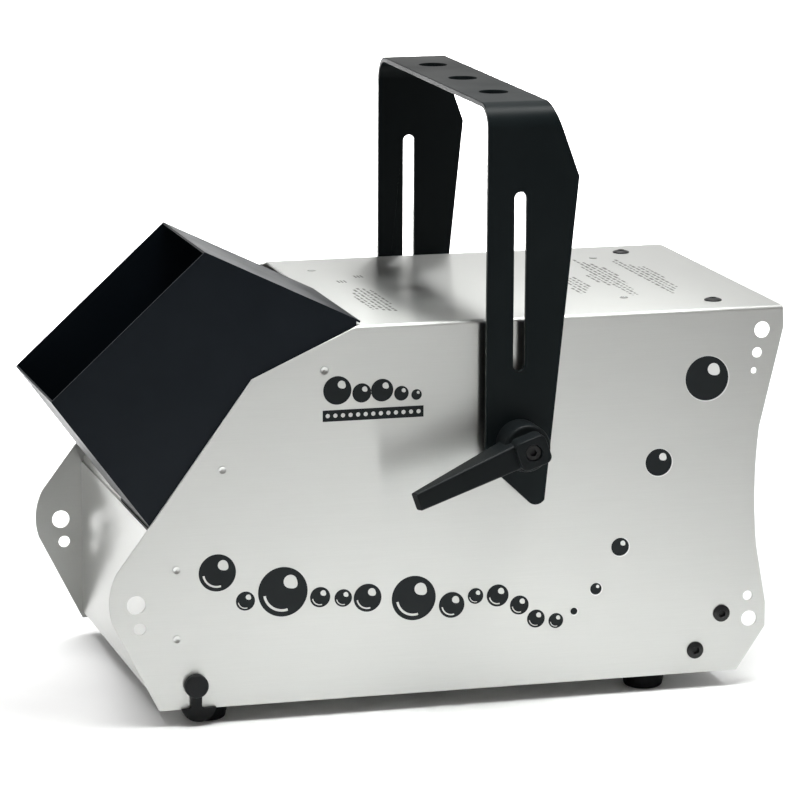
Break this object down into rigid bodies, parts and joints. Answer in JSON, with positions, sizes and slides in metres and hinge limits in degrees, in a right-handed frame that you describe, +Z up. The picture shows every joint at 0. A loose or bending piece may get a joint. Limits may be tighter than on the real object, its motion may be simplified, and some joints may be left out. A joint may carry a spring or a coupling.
{
  "type": "bubble machine",
  "caption": "Sheet steel bubble machine with a flared black outlet hood, a wand wheel over a fluid tank, a fan, rubber feet and a tilting yoke with clamp levers.",
  "frame": {"origin": "middle of the footprint on the surface that the feet stand on", "axes": "+Z up, -Y towards the outlet hood, +Y towards the rear panel, +X towards the side panel that the hood lies behind"},
  "size_m": [0.2992, 0.4342, 0.3522],
  "materials": {
    "satin_silver": "fine brushed sheet steel, clear lacquered",
    "zinc_steel": "zinc plated sheet",
    "black_hood": "satin black lacquer",
    "black_powder": "fine textured black powder coat",
    "lever_black": "satin moulded black",
    "black_screw": "black oxide steel",
    "bare_steel": "turned steel",
    "rivet_metal": "aluminium rivet",
    "foot_rubber": "black rubber",
    "stopper_rubber": "black rubber",
    "tank_plastic": "natural white polyethylene",
    "wheel_plastic": "moulded plastic",
    "bearing_plastic": "black acetal",
    "bush_brass": "sintered bronze",
    "motor_metal": "plated motor case",
    "fan_plastic": "glass filled plastic",
    "guard_wire": "plated wire",
    "socket_plastic": "moulded black",
    "rocker_plastic": "moulded black",
    "board_green": "solder mask",
    "component_black": "moulded components",
    "supply_metal": "folded aluminium"
  },
  "bodies": {
    "casing": {"casing_shell": "satin_silver", "chassis_pan": "satin_silver", "front_cover": "satin_silver", "rear_panel": "satin_silver", "outlet_hood": "black_hood", "partition_plate": "zinc_steel", "fan_bulkhead": "zinc_steel", "fluid_tank": "tank_plastic", "axle_bearing_block": "bearing_plastic", "axle_bush": "bush_brass", "motor_bracket": "zinc_steel", "wheel_motor": "motor_metal", "motor_screws": "bare_steel", "fan_housing": "fan_plastic", "fan_guard": "guard_wire", "fan_screws": "bare_steel", "foot_screws": "bare_steel", "casing_screws": "black_screw", "casing_rivets": "rivet_metal", "power_inlet": "socket_plastic", "switch_housing": "socket_plastic", "control_input": "socket_plastic", "control_output": "socket_plastic", "remote_socket": "socket_plastic", "connector_screws": "black_screw", "control_board": "board_green", "board_parts": "component_black", "board_standoffs": "bare_steel", "power_supply": "supply_metal", "foot_front_right": "foot_rubber", "foot_front_left": "foot_rubber", "foot_rear_right": "foot_rubber", "foot_rear_left": "foot_rubber", "pivot_spacer_right": "bearing_plastic", "pivot_nut_right": "bare_steel", "pivot_spacer_left": "bearing_plastic", "pivot_nut_left": "bare_steel"},
    "yoke": {"yoke": "black_powder"},
    "clamp_right": {"lever_right": "lever_black", "lever_insert_right": "bare_steel", "lever_screw_right": "black_screw"},
    "clamp_left": {"lever_left": "lever_black", "lever_insert_left": "bare_steel", "lever_screw_left": "black_screw"},
    "wheel_set": {"wheel_axle": "bare_steel", "bubble_wheel_inner": "wheel_plastic", "bubble_wheel_outer": "wheel_plastic", "axle_clips": "bare_steel", "shaft_coupling": "bush_brass", "motor_shaft": "bare_steel"},
    "fan_rotor": {"fan_impeller": "fan_plastic"},
    "drain_stopper": {"drain_plug": "stopper_rubber"},
    "fuse_tray": {"fuse_drawer": "socket_plastic"},
    "power_key": {"switch_rocker": "rocker_plastic"}
  },
  "joints": [
    {"name": "yoke_tilt", "type": "hinge", "parent": "casing", "child": "yoke", "pos_m": [0, 0.05305, 0.1568], "axis": [1, 0, 0], "range_deg": [-115, 48]},
    {"name": "clamp_right_turn", "type": "hinge", "parent": "casing", "child": "clamp_right", "pos_m": [0.1174, 0.05305, 0.1568], "axis": [1, 0, 0], "continuous": true},
    {"name": "clamp_left_turn", "type": "hinge", "parent": "casing", "child": "clamp_left", "pos_m": [-0.1174, 0.05305, 0.1568], "axis": [-1, 0, 0], "continuous": true},
    {"name": "wheel_spin", "type": "hinge", "parent": "casing", "child": "wheel_set", "pos_m": [0.054, -0.09495, 0.0908], "axis": [1, 0, 0], "continuous": true},
    {"name": "fan_spin", "type": "hinge", "parent": "casing", "child": "fan_rotor", "pos_m": [0.054, -0.00895, 0.1688], "axis": [0, -1, 0], "continuous": true},
    {"name": "drain_plug_pull", "type": "slide", "parent": "casing", "child": "drain_stopper", "axis": [1, 0, 0], "range_m": [0, 0.025]},
    {"name": "fuse_drawer_pull", "type": "slide", "parent": "casing", "child": "fuse_tray", "axis": [0, 1, 0], "range_m": [0, 0.016]},
    {"name": "power_switch_rock", "type": "hinge", "parent": "casing", "child": "power_key", "pos_m": [-0.024, 0.18605, 0.0728], "axis": [1, 0, 0], "range_deg": [-18, 0]}
  ]
}
